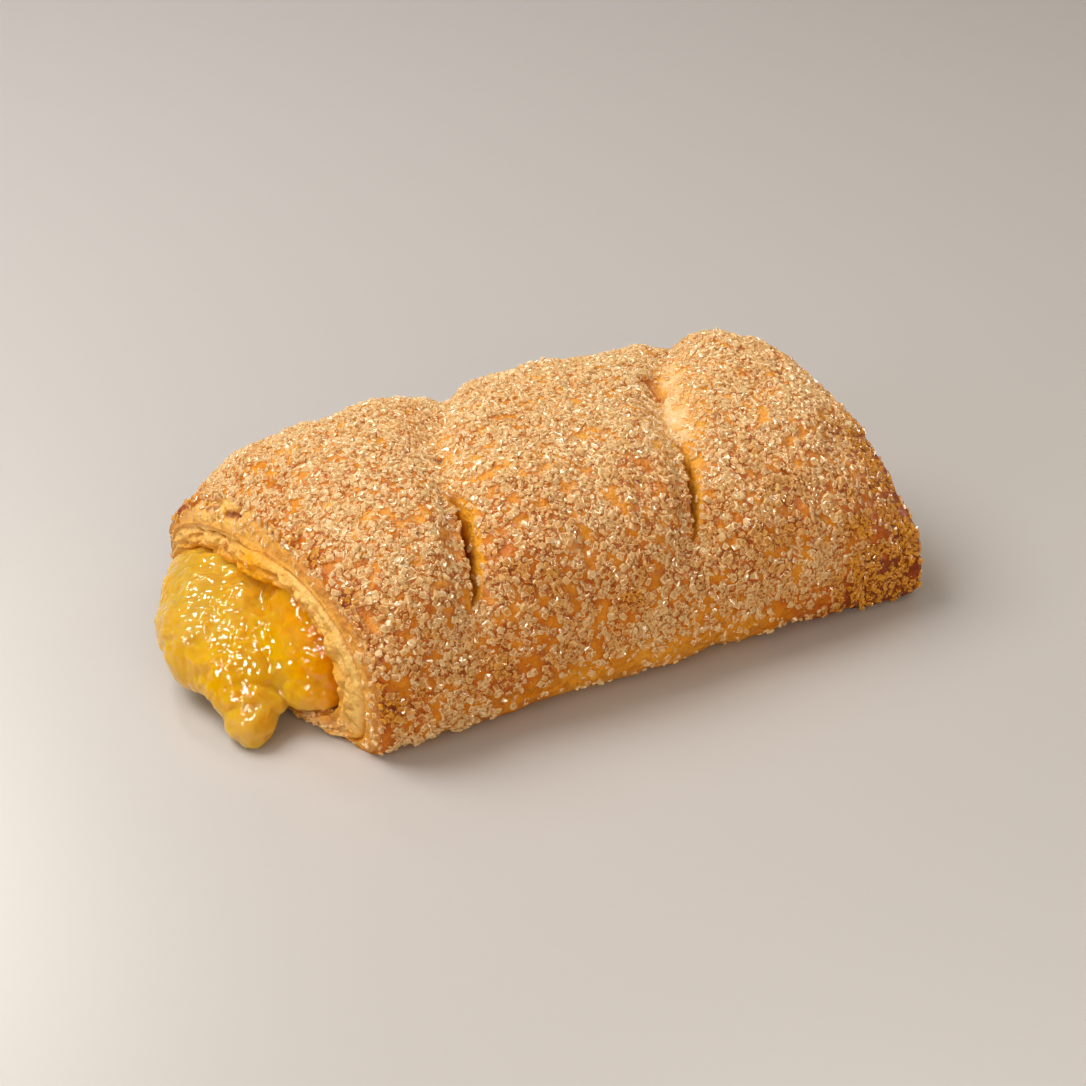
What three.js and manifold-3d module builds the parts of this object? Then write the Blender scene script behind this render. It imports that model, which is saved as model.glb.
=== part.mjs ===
// A baked pineapple turnover: one sheet of pastry folded round a core of pineapple jam, open at
// both ends, cut with two slits and strewn with coarse sugar. The jam spills out of the near end.
// Millimetres, +Z up, +X along the roll from the spilled end to the far end, the slit side at -Y.

import * as THREE from 'three';
import { mergeVertices } from 'three/addons/utils/BufferGeometryUtils.js';
import Module from 'manifold-3d';

const wasm = await Module();
wasm.setup();

// Driving dimensions of the roll, measured from a point under the middle of its front edge
const ROLL_LENGTH = 127;
const FRONT_EDGE = -38.5;
const NEAR_SKEW = -0.12;
const FAR_SKEW = -0.08;
const BASE_SUNK = 2.5;
const EDGE_ROUND = 3.2;

// Where the middle of the whole part's box lies, measured in the roll's own frame
const BOX_MIDDLE = { x: -12.36, y: -1.21 };

// Sections along the roll, from the near lip (0) to the far lip (1): how far the front and back
// bulge from the middle plane, the height of the crest and its place across the roll, the height
// of the widest place, and the superellipse powers of the front, back and underside
const SECTIONS = [
  { at: 0.0, front: 43.0, back: 39.5, top: 32.0, crest: -10, waist: 13, brow: 1.95, rear: 1.5, base: 5.0 },
  { at: 0.08, front: 42.8, back: 40.0, top: 39.0, crest: -5, waist: 13, brow: 2.2, rear: 2.1, base: 4.6 },
  { at: 0.2, front: 42.5, back: 40.0, top: 42.3, crest: -2, waist: 13, brow: 2.3, rear: 2.3, base: 4.4 },
  { at: 0.5, front: 42.0, back: 40.0, top: 43.2, crest: 0, waist: 13, brow: 2.3, rear: 2.4, base: 4.2 },
  { at: 0.76, front: 41.6, back: 40.0, top: 41.2, crest: 3, waist: 12, brow: 2.2, rear: 2.3, base: 4.4 },
  { at: 0.9, front: 41.2, back: 39.5, top: 41.6, crest: 6, waist: 10, brow: 1.95, rear: 2.3, base: 5.0 },
  { at: 1.0, front: 40.2, back: 38.5, top: 35.8, crest: 9, waist: 8, brow: 1.62, rear: 2.1, base: 6.0 },
];

// Creases where the pastry sinks at the two slits: each leans along the roll for each step back,
// and leans more behind the middle plane
const CREASES = [
  { x: -29.6, lean: 0.27, backLean: 0.55, depth: 3.8, width: 6.0 },
  { x: 22.3, lean: 0.37, backLean: 0.66, depth: 3.2, width: 5.5 },
];
const CREASE_FOOT = 12;
const CREASE_FULL = 30;

// Slits cut through the outer sheet, each in its crease, with the small tear further up it
const SLITS = [
  { crease: 0, y: -26.5, length: 18.5, width: 2.6, depth: 6.0 },
  { crease: 0, y: -4.5, length: 5.0, width: 2.2, depth: 3.5 },
  { crease: 1, y: -27, length: 17, width: 2.6, depth: 5.5 },
  { crease: 1, y: 0, length: 5.5, width: 2.4, depth: 3.5 },
];

// Openings of the sheet at both lips, as sections of the same kind
const NEAR_MOUTH = { front: 28.5, back: 33.5, top: 23.6, crest: -9, waist: 8, brow: 2.1, rear: 1.5, base: 3.0, foot: 2.8 };
const FAR_MOUTH = { front: 22.0, back: 27.0, top: 22.0, crest: 4, waist: 10, brow: 2.0, rear: 2.0, base: 3.0, foot: 4.0 };

// Relief of a lip from the outer edge (0) to the mouth (1): the thin outer sheet, the groove
// behind it, and the thick flaky inner layer; recess is how deep each lies behind the lip
const LIP_RELIEF = [
  { across: 0.0, recess: 0.5 },
  { across: 0.08, recess: 0.0 },
  { across: 0.17, recess: 2.0 },
  { across: 0.3, recess: 0.3 },
  { across: 0.62, recess: -0.7 },
  { across: 0.9, recess: 0.2 },
  { across: 1.0, recess: 1.6 },
];
const FLAKE_DEPTH = 0.5;
const TONGUE = { reach: 3.6, y: -17, half: 17, thick: 8 };

// Jam: the core between the mouths, recessed at the far one, and the spill round its own centre,
// made of lobes given by centre and half sizes
const CORE_RECESS = 2.5;
const SPILL_CENTRE = [-65, 2, 10];
const SPILL_LOBES = [
  { centre: [-69, 4, 10.5], half: [17, 22, 9.8] },
  { centre: [-78, 1, 9.5], half: [10.2, 12.5, 8] },
  { centre: [-72, -9, 9.5], half: [13, 13, 9] },
  { centre: [-70, 18, 9.5], half: [9, 13, 7.5] },
  { centre: [-77.5, -4, 7], half: [9.2, 9.5, 6] },
  { centre: [-76.5, -13.5, 7], half: [8, 9, 6.6] },
  { centre: [-77.6, -18, 5.2], half: [6.2, 7.2, 5.2] },
  { centre: [-79, -22, 3.4], half: [4.4, 5.6, 4.4] },
];
const LOBE_SHARPNESS = 16;
const JAM_CLEARANCE = 0.4;

// Sugar: the largest crystals only
const SUGAR_COUNT = 160;
const SUGAR_SIZE = 2.1;
const SUGAR_SPREAD = 6.2;
const SUGAR_FOOT = 9;
const SUGAR_SEED = 4711;

// Steps of the surfaces
const CRUST_ROUND = 44;
const EDGE_STEPS = [0.25, 0.9, 1.9, 3.2];
const EDGE_END = 5.4;
const CRUST_ALONG = 25;
const JAM_ROUND = 44;
const CORE_ALONG = 7;
const SPILL_STEPS = 18;

const lerp = THREE.MathUtils.lerp;
const smoothstep = THREE.MathUtils.smoothstep;

// One size at a place along the roll, on a smooth curve through the sections.
function sizeAt(key, place) {
  let i = 0;
  while (i < SECTIONS.length - 2 && SECTIONS[i + 1].at < place) i += 1;
  const a = SECTIONS[i];
  const b = SECTIONS[i + 1];
  const before = SECTIONS[Math.max(i - 1, 0)];
  const after = SECTIONS[Math.min(i + 2, SECTIONS.length - 1)];
  const span = b.at - a.at;
  const t = (place - a.at) / span;
  const slopeA = (b[key] - before[key]) / (b.at - before.at) * span;
  const slopeB = (after[key] - a[key]) / (after.at - a.at) * span;
  return a[key] * (2 * t ** 3 - 3 * t ** 2 + 1) + slopeA * (t ** 3 - 2 * t ** 2 + t)
    + b[key] * (3 * t ** 2 - 2 * t ** 3) + slopeB * (t ** 3 - t ** 2);
}

function sectionAt(place) {
  const section = {};
  for (const key of ['front', 'back', 'top', 'crest', 'waist', 'brow', 'rear', 'base']) {
    section[key] = sizeAt(key, place);
  }
  return section;
}

// A point of a section: turn runs round it from the back over the crest to the front.
// The underside sinks a little below the plate, so that its flat cut there has a real width.
function sectionPoint(s, turn) {
  const across = Math.cos(turn);
  const up = Math.sin(turn);
  const side = across > 0 ? s.back - s.crest : s.front + s.crest;
  const rise = up > 0 ? s.top - s.waist : s.waist - s.foot;
  const upper = across > 0 ? s.rear : s.brow;
  const power = 2 / (up > 0 ? upper : s.base);
  return {
    y: s.crest + Math.sign(across) * side * Math.abs(across) ** power,
    z: s.waist + Math.sign(up) * rise * Math.abs(up) ** power,
  };
}

// Where a crease runs along the roll at a place across it.
function creaseLine(crease, y) {
  return crease.x + (y < 0 ? crease.lean : crease.backLean) * y;
}

// How far the pastry sinks at the creases, less towards the foot of each side.
function creaseDepth(x, y, z) {
  let depth = 0;
  for (const crease of CREASES) {
    const off = (x - creaseLine(crease, y)) / crease.width;
    depth += crease.depth * Math.exp(-off * off);
  }
  return depth * smoothstep(z, CREASE_FOOT, CREASE_FULL);
}

// The near lip is cut askew, and its underside reaches out as a short tongue.
function nearLip(y, z) {
  const off = (y - TONGUE.y) / TONGUE.half;
  const tongue = TONGUE.reach * Math.max(0, 1 - off * off) * (1 - smoothstep(z, 0, TONGUE.thick));
  return -ROLL_LENGTH / 2 + NEAR_SKEW * (y - FRONT_EDGE) - tongue;
}

function farLip(y) {
  return ROLL_LENGTH / 2 + FAR_SKEW * (y - FRONT_EDGE);
}

// How far the outside is drawn in beside a lip, where the sheet's edge is rounded.
function edgeTuck(place) {
  const short = Math.max(0, EDGE_ROUND - Math.min(place, 1 - place) * ROLL_LENGTH);
  return EDGE_ROUND - Math.sqrt(EDGE_ROUND ** 2 - short ** 2);
}

// A point of the crust's outside.
function crustPoint(place, turn) {
  const section = { ...sectionAt(place), foot: -BASE_SUNK };
  const { y, z } = sectionPoint(section, turn);
  const x = lerp(nearLip(y, z), farLip(y), place);
  const sink = creaseDepth(x, y, z) + edgeTuck(place);
  const rise = Math.hypot(y - section.crest, z - section.waist);
  const shrink = (rise - sink) / rise;
  return [
    x,
    section.crest + (y - section.crest) * shrink,
    Math.max(0, section.waist + (z - section.waist) * shrink),
  ];
}

// How deep the lip lies at a share of the way from its outer edge to the mouth.
function lipRecess(across, turn) {
  const i = LIP_RELIEF.findIndex((step, k) => k > 0 && across <= step.across);
  const [a, b] = [LIP_RELIEF[i - 1], LIP_RELIEF[i]];
  const t = (across - a.across) / (b.across - a.across);
  const flake = across > 0.2 ? FLAKE_DEPTH * Math.sin(7 * turn + 9 * across) : 0;
  return lerp(a.recess, b.recess, t) + flake;
}

// A point of a lip's face: out is -1 at the near end and 1 at the far end.
function lipPoint(out, across, turn) {
  const [edgeX, edgeY, edgeZ] = crustPoint(out < 0 ? 0 : 1, turn);
  const mouth = sectionPoint(out < 0 ? NEAR_MOUTH : FAR_MOUTH, turn);
  const y = lerp(edgeY, mouth.y, across);
  const z = lerp(edgeZ, mouth.z, across);
  const plane = out < 0 ? nearLip(y, z) : farLip(y);
  const x = lerp(edgeX, plane, Math.min(1, across * 4));
  return [x - out * lipRecess(across, turn), y, z];
}

// A closed surface from rings of points, each end closed by a fan round its own middle.
function closedSurface(rings) {
  const around = rings[0].length;
  const points = rings.flat();
  const middleOf = (ring) => [0, 1, 2].map((axis) => ring.reduce((sum, p) => sum + p[axis], 0) / around);
  points.push(middleOf(rings[0]), middleOf(rings[rings.length - 1]));
  const index = [];
  for (let i = 0; i + 1 < rings.length; i += 1) {
    for (let j = 0; j < around; j += 1) {
      const k = (j + 1) % around;
      const [a, b, c, d] = [i * around + j, i * around + k, (i + 1) * around + k, (i + 1) * around + j];
      index.push(a, b, c, a, c, d);
    }
  }
  const [first, last] = [points.length - 2, points.length - 1];
  const tail = (rings.length - 1) * around;
  for (let j = 0; j < around; j += 1) {
    const k = (j + 1) % around;
    index.push(first, k, j, last, tail + j, tail + k);
  }
  const geometry = new THREE.BufferGeometry();
  geometry.setAttribute('position', new THREE.Float32BufferAttribute(points.flat(), 3));
  geometry.setIndex(index);
  return geometry;
}

function ring(count, pointAt) {
  return Array.from({ length: count }, (_, j) => pointAt((2 * Math.PI * j) / count));
}

// The crust without its hollow: near lip, outside, far lip.
function crustGeometry() {
  const lip = LIP_RELIEF.map((step) => step.across);
  const edge = EDGE_STEPS.map((step) => step / ROLL_LENGTH);
  const places = [...edge];
  for (let i = 0; i <= CRUST_ALONG; i += 1) {
    places.push(lerp(EDGE_END / ROLL_LENGTH, 1 - EDGE_END / ROLL_LENGTH, i / CRUST_ALONG));
  }
  places.push(...edge.map((step) => 1 - step).reverse());
  const rings = [];
  for (const across of [...lip].reverse()) rings.push(ring(CRUST_ROUND, (turn) => lipPoint(-1, across, turn)));
  for (const place of places) rings.push(ring(CRUST_ROUND, (turn) => crustPoint(place, turn)));
  for (const across of lip) rings.push(ring(CRUST_ROUND, (turn) => lipPoint(1, across, turn)));
  return closedSurface(rings);
}

// A point of the core's skin, grown by a clearance, at a share of the way between the mouths.
function corePoint(share, turn, grow) {
  const mouth = {};
  for (const key of Object.keys(NEAR_MOUTH)) mouth[key] = lerp(NEAR_MOUTH[key], FAR_MOUTH[key], share);
  for (const key of ['front', 'back', 'top']) mouth[key] += grow;
  mouth.foot -= grow;
  const { y, z } = sectionPoint(mouth, turn);
  return [lerp(SPILL_CENTRE[0], farLip(y) - CORE_RECESS, share), y, z];
}

// How far the spill reaches from its centre in a direction: the lobes, smoothly joined.
function spillReach(direction) {
  let sum = 0;
  for (const lobe of SPILL_LOBES) {
    let [a, b, c] = [0, 0, -1];
    for (let axis = 0; axis < 3; axis += 1) {
      const start = (SPILL_CENTRE[axis] - lobe.centre[axis]) / lobe.half[axis];
      const step = direction[axis] / lobe.half[axis];
      a += step * step;
      b += start * step;
      c += start * start;
    }
    const root = b * b - a * c;
    const reach = root > 0 ? (Math.sqrt(root) - b) / a : 0;
    sum += Math.max(0, reach) ** LOBE_SHARPNESS;
  }
  return sum ** (1 / LOBE_SHARPNESS);
}

// A point of the spill: lift is 0 at the mouth's rim and 1 at the tip that points away from it.
function spillPoint(lift, turn, grow) {
  const rim = corePoint(0, turn, grow);
  const across = [0, rim[1] - SPILL_CENTRE[1], rim[2] - SPILL_CENTRE[2]];
  const radius = Math.hypot(...across);
  const swing = (lift * Math.PI) / 2;
  const direction = [-Math.sin(swing), (across[1] / radius) * Math.cos(swing), (across[2] / radius) * Math.cos(swing)];
  const reach = lerp(radius, spillReach(direction) + grow, smoothstep(lift, 0, 0.3));
  const [x, y, z] = direction.map((part, axis) => SPILL_CENTRE[axis] + part * reach);
  return [x, y, Math.max(-grow, z)];
}

function jamGeometry(grow, overrun) {
  const rings = [];
  for (let i = SPILL_STEPS - 1; i > 0; i -= 1) {
    rings.push(ring(JAM_ROUND, (turn) => spillPoint(i / SPILL_STEPS, turn, grow)));
  }
  for (let i = 0; i <= CORE_ALONG; i += 1) {
    rings.push(ring(JAM_ROUND, (turn) => corePoint(i / CORE_ALONG, turn, grow)));
  }
  if (overrun > 0) {
    rings.push(ring(JAM_ROUND, (turn) => {
      const [x, y, z] = corePoint(1, turn, grow);
      return [x + overrun, y, z];
    }));
  }
  return closedSurface(rings);
}

// Solids for cutting and joining, and back to a shape that can be shown.
function toSolid(geometry) {
  const bare = geometry.clone();
  bare.deleteAttribute('normal');
  bare.deleteAttribute('uv');
  const merged = mergeVertices(bare, 1e-4);
  return new wasm.Manifold(new wasm.Mesh({
    numProp: 3,
    vertProperties: new Float32Array(merged.attributes.position.array),
    triVerts: new Uint32Array(merged.index.array),
  }));
}

function toGeometry(solid) {
  const mesh = solid.getMesh();
  const geometry = new THREE.BufferGeometry();
  geometry.setAttribute('position', new THREE.BufferAttribute(new Float32Array(mesh.vertProperties), 3));
  geometry.setIndex(new THREE.BufferAttribute(new Uint32Array(mesh.triVerts), 1));
  geometry.computeVertexNormals();
  return geometry;
}

// A slit is a long, thin, rounded blade sunk in its crease, upright across the surface.
function slitSolid(slit) {
  const crease = CREASES[slit.crease];
  const x = creaseLine(crease, slit.y);
  const place = (x + ROLL_LENGTH / 2) / ROLL_LENGTH;
  const surface = surfaceAt(place, slit.y);
  const blade = new THREE.SphereGeometry(1, 10, 8);
  blade.scale(slit.width / 2, slit.length / 2, slit.depth);
  const along = new THREE.Vector3(crease.lean, 1, surface.slope).normalize();
  const side = new THREE.Vector3().crossVectors(along, new THREE.Vector3(0, 0, 1)).normalize();
  const upright = new THREE.Vector3().crossVectors(side, along);
  blade.applyMatrix4(new THREE.Matrix4().makeBasis(side, along, upright));
  blade.translate(x, slit.y, surface.z);
  return toSolid(blade);
}

// Height and slope of the crust's upper side over a point of the roll's plan.
function surfaceAt(place, y) {
  let best = null;
  for (let turn = 0.02; turn < Math.PI; turn += 0.02) {
    const here = crustPoint(place, turn);
    const next = crustPoint(place, turn + 0.02);
    if (here[1] >= y && next[1] < y) best = { z: here[2], slope: (next[2] - here[2]) / (next[1] - here[1]) };
  }
  return best;
}

// Seeded draws, so that every build strews the same sugar.
function seededDraw(seed) {
  let state = seed;
  return () => {
    state = (Math.imul(state, 1664525) + 1013904223) >>> 0;
    return state / 4294967296;
  };
}

// Places for the sugar: spread evenly over the upper crust, kept out of the creases and off the
// lips and the foot of each side.
function sugarPlaces() {
  const draw = seededDraw(SUGAR_SEED);
  const places = [];
  for (let tries = 0; places.length < SUGAR_COUNT && tries < 40 * SUGAR_COUNT; tries += 1) {
    const place = lerp(0.04, 0.96, draw());
    const turn = Math.PI * lerp(-0.02, 1.02, draw());
    const [x, y, z] = crustPoint(place, turn);
    const spacing = SUGAR_SPREAD * lerp(0.9, 1.2, draw());
    const crowded = places.some((p) => Math.hypot(p.x - x, p.y - y, p.z - z) < spacing);
    if (z > SUGAR_FOOT && creaseDepth(x, y, z) < 1.2 && !crowded) places.push({ x, y, z });
  }
  return { places, draw };
}

// A crystal is a stubby block, turned at random and sunk to its middle in the crust.
function sugarSolids() {
  const { places, draw } = sugarPlaces();
  return places.map(({ x, y, z }) => {
    const block = new THREE.BoxGeometry(SUGAR_SIZE, SUGAR_SIZE * lerp(0.7, 0.95, draw()), SUGAR_SIZE * lerp(0.6, 0.8, draw()));
    block.applyMatrix4(new THREE.Matrix4().makeRotationFromEuler(
      new THREE.Euler(draw() * Math.PI, draw() * Math.PI, draw() * Math.PI),
    ));
    block.translate(x, y, z);
    return toSolid(block);
  });
}

function pastryGeometry() {
  let solid = toSolid(crustGeometry());
  for (const slit of SLITS) solid = solid.subtract(slitSolid(slit));
  for (const crystal of sugarSolids()) solid = solid.add(crystal);
  solid = solid.subtract(toSolid(jamGeometry(JAM_CLEARANCE, 6)));
  return toGeometry(solid);
}

const pastryFinish = new THREE.MeshStandardMaterial({ color: 0xd89a52, roughness: 0.75, metalness: 0 });
const jamFinish = new THREE.MeshStandardMaterial({ color: 0xe0a52e, roughness: 0.2, metalness: 0 });

const pastry = new THREE.Mesh(pastryGeometry(), pastryFinish);
pastry.name = 'pastry';

const filling = new THREE.Mesh(jamGeometry(0, 0), jamFinish);
filling.name = 'filling';

const turnover = new THREE.Group();
turnover.add(pastry, filling);
turnover.position.set(-BOX_MIDDLE.x, -BOX_MIDDLE.y, 0);

export default turnover;
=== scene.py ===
"""A baked pineapple turnover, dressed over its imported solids.

Metres, +Z up, +X along the roll from the end where the jam spills to the far end, and the two
slits on the -Y side. The shape of the roll is worked out in millimetres in the roll's own frame,
whose zero lies under the middle of the roll, and is moved and scaled as each mesh is made.
"""

import logging
import math
from dataclasses import dataclass, field, fields
from enum import Enum
from functools import partial

import bmesh
import bpy
import numpy as np
from mathutils import Euler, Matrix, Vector, noise


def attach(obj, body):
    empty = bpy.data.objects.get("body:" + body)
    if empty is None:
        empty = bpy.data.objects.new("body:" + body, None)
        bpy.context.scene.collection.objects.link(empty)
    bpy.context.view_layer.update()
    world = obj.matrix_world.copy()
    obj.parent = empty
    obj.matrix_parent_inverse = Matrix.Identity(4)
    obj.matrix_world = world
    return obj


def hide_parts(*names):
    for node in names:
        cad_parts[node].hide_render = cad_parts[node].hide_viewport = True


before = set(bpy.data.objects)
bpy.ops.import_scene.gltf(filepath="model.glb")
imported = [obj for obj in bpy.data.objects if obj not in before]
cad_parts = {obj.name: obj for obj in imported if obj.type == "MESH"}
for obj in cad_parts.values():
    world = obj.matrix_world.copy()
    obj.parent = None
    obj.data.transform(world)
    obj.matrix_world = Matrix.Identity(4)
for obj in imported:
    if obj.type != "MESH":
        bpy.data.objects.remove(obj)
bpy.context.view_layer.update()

MM = 0.001
BOX_MIDDLE = (-12.36, -1.21, 0.0)
# In millimetres: a point below RESTING lies on the plate, and points closer than WELD are one.
RESTING = 0.05
WELD = 1e-4
# Steps along a curve that is then cut into even lengths.
FINE = 400
LOG = logging.getLogger("turnover")


def smoothstep(value: float, low: float, high: float) -> float:
    """Ease from 0 at low to 1 at high.

    Args:
        value: The place on the scale, a number or an array.
        low: Where the ease starts.
        high: Where it ends.

    Returns:
        The eased share, of the same kind as value.
    """
    t = np.clip((value - low) / (high - low), 0.0, 1.0)
    return t * t * (3.0 - 2.0 * t)


def ease(value: float, low: float, high: float) -> float:
    """The same ease for one number, quicker."""
    t = min(1.0, max(0.0, (value - low) / (high - low)))
    return t * t * (3.0 - 2.0 * t)


def clamped(value: float) -> float:
    """The value, held between 0 and 1."""
    return min(1.0, max(0.0, value))


def bell(value: float, middle: float, width: float) -> float:
    """Bell curve of height 1 at middle, for a number."""
    return math.exp(-(((value - middle) / width) ** 2))


def srgb(red: float, green: float, blue: float) -> tuple[float, float, float, float]:
    """Turn a colour of 0 to 255 as seen on a screen into the linear colour that a shader takes."""
    linear = [((c / 255 + 0.055) / 1.055) ** 2.4 if c > 10 else c / 255 / 12.92 for c in (red, green, blue)]
    return (linear[0], linear[1], linear[2], 1.0)


def grain(x: float, y: float, z: float, size: float, seed: float = 0.0) -> float:
    """Smooth noise of about -1 to 1, with lumps of about the given size in millimetres."""
    return noise.noise(Vector((x / size + seed, y / size - seed, z / size + 2.0 * seed)))


def puffs(x: float, y: float, z: float, size: float) -> float:
    """Rounded pockets side by side, 1 at their middles and 0 where they meet."""
    distances, _ = noise.voronoi(Vector((x / size, y / size, z / size)))
    return min(1.0, 1.6 * (distances[1] - distances[0]))


class Region(Enum):
    """Which part of the pastry's skin a point belongs to."""

    OUTSIDE = 0
    NEAR_LIP = 1
    FAR_LIP = 2
    WALL = 3


@dataclass(frozen=True)
class Section:
    """One section across the roll, in millimetres.

    front and back are the reach of the sides, top the height of the crest, crest its place across
    the roll, waist the height of the widest place, foot the lowest point; brow, rear and base are
    the superellipse powers of the front, the back and the underside.
    """

    front: float
    back: float
    top: float
    crest: float
    waist: float
    brow: float
    rear: float
    base: float
    foot: float = -2.5

    def outline(self, turn: np.ndarray) -> tuple[np.ndarray, np.ndarray]:
        """Points of the section.

        Args:
            turn: Angles round it, from the back over the crest to the front and under.

        Returns:
            The places across the roll and the heights.
        """
        across = np.cos(turn)
        up = np.sin(turn)
        side = np.where(across > 0, self.back - self.crest, self.front + self.crest)
        rise = np.where(up > 0, self.top - self.waist, self.waist - self.foot)
        power = 2.0 / np.where(up > 0, np.where(across > 0, self.rear, self.brow), self.base)
        y = self.crest + np.sign(across) * side * np.abs(across) ** power
        z = self.waist + np.sign(up) * rise * np.abs(up) ** power
        return y, z

    def ring(self, counts: tuple[int, int, int, int]) -> tuple[np.ndarray, np.ndarray]:
        """Points at even steps along each quarter of the section.

        Args:
            counts: Steps on the back shoulder, the brow, and the front and back of the underside.

        Returns:
            The places across the roll and the heights, the first point repeated at the end.
        """
        ys, zs = [], []
        for quarter, count in enumerate(counts):
            eased = 0.5 - 0.5 * np.cos(np.linspace(0.0, np.pi, FINE))
            turn = (quarter + np.clip(eased, 1e-7, 1 - 1e-7)) * np.pi / 2
            y, z = self.outline(turn)
            length = np.concatenate([[0.0], np.cumsum(np.hypot(np.diff(y), np.diff(z)))])
            stops = np.linspace(0.0, length[-1], count + 1)[:-1]
            ys.append(np.interp(stops, length, y))
            zs.append(np.interp(stops, length, z))
        y, z = np.concatenate(ys), np.concatenate(zs)
        return np.append(y, y[0]), np.append(z, z[0])

    def mixed(self, other: "Section", share: float) -> "Section":
        """A section part of the way to another one.

        Args:
            other: The section at share 1.
            share: How far to go towards it.

        Returns:
            The section between them.
        """
        size = {}
        for f in fields(self):
            size[f.name] = getattr(self, f.name) * (1 - share) + getattr(other, f.name) * share
        return Section(**size)


@dataclass(frozen=True)
class Cut:
    """What a slit does to a point: how far it drops, how torn it is, how much painted shade darkens it, and
    its push.
    """

    drop: float = 0.0
    torn: float = 0.0
    # Painted shade in the slit beside its near wall and in the tear's hole, where real shade falls.
    deep_and_painted_shade: float = 0.0
    push: float = 0.0


@dataclass(frozen=True)
class Crease:
    """A crease over the top where the pastry sinks, with the slit cut in it and the tear above."""

    x: float
    lean: float
    back_lean: float
    depth: float
    width: float
    slit_y: float
    slit_length: float
    slit_drop: float
    strip: float
    tear_y: float
    tear_length: float
    pale_from: float
    pale_to: float
    bleach: float
    ragged: float = 0.4
    lip_lift: float = 0.7
    lip_push: float = 0.9

    def line(self, y: np.ndarray) -> np.ndarray:
        """Where the crease runs along the roll at a place across it."""
        return self.x + np.where(y < 0, self.lean, self.back_lean) * y

    def off_line(self, x: float, y: float) -> float:
        """How far one point lies from that line, along the roll."""
        return x - (self.x + (self.lean if y < 0 else self.back_lean) * y)

    def sink(self, x: np.ndarray, y: np.ndarray) -> np.ndarray:
        """Depth of the sunken stretch over a point of the plan, steeper on the slit's near side."""
        off = x - self.line(y)
        steep = np.exp(-(((y - self.slit_y) / (0.75 * self.slit_length)) ** 2))
        width = np.where(off < 0, self.width * (1 - 0.45 * steep), self.width * (1 + 0.25 * steep))
        return self.depth * np.exp(-((off / width) ** 2))

    def cut(self, x: float, y: float) -> Cut:
        """The slit's shape over a point of the plan.

        Args:
            x, y: The point, in millimetres.

        Returns:
            What the slit does there.
        """
        off = self.off_line(x, y) + self.ragged * grain(x, y, 0.0, 2.2, 21.0)
        drop, torn, deep_and_painted_shade, push = 0.0, 0.0, 0.0, 0.0
        reach = 1.0 - ((y - self.slit_y) / (self.slit_length / 2)) ** 2
        if reach > 0:
            open_ = reach**0.5
            full = self.slit_drop * open_
            ramp = 1.0 + self.strip * open_
            if -0.55 < off <= 0.0:
                torn = (off + 0.55) / 0.55
                drop = full * torn
            elif 0.0 < off < ramp:
                drop = full * (1.0 - ease(off, -0.25 * ramp, ramp))
                torn = 1.0 - ease(off, 0.75 * ramp, ramp)
            elif -3.0 < off <= -0.55:
                drop = -self.lip_lift * open_ * bell(off, -1.0, 0.9)
                push = self.lip_push * open_ * bell(off, -0.7, 0.8)
            # Painted shade along the slit's near wall.
            if -0.5 < off < ramp:
                deep_and_painted_shade = open_ * (1.0 - ease(off, 0.4, 0.5 * ramp))
        hole = math.hypot((y - self.tear_y) / (self.tear_length / 2), off / 1.4)
        if hole < 1.0:
            drop = max(drop, 3.2 * (1.0 - hole**2))
            # The tear's hole takes painted shade too.
            deep_and_painted_shade = max(deep_and_painted_shade, 1.0 - hole)
        return Cut(drop, torn, deep_and_painted_shade, push)

    def pale(self, x: float, y: float) -> float:
        """How far a point lies on the stretched, pale dough of the crease, 0 to 1."""
        along = ease(y, self.pale_from - 4, self.pale_from + 3)
        along *= 1.0 - ease(y, self.pale_to - 4, self.pale_to + 5)
        spread = 4.4 + 1.2 * grain(x, y, 0.0, 5.0, 31.0)
        return self.bleach * along * bell(self.off_line(x, y), 1.6, spread)


@dataclass(frozen=True)
class Fold:
    """A short fold or crack in the crust, bare of sugar, given by its ends in plan."""

    start: tuple[float, float]
    end: tuple[float, float]
    width: float = 0.8
    depth: float = 0.9
    darkening: float = 0.3

    def press(self, x: float, y: float) -> float:
        """How much of the fold a point of the plan lies in, 0 to 1."""
        ax, ay = self.start
        bx, by = self.end[0] - ax, self.end[1] - ay
        share = ((x - ax) * bx + (y - ay) * by) / (bx * bx + by * by)
        if not -0.3 < share < 1.3:
            return 0.0
        held = clamped(share)
        off = math.hypot(x - ax - held * bx, y - ay - held * by) + 0.7 * grain(x, y, 0.0, 1.7, 71.0)
        return bell(max(0.0, off), 0.0, self.width) if off < 3 * self.width else 0.0


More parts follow.
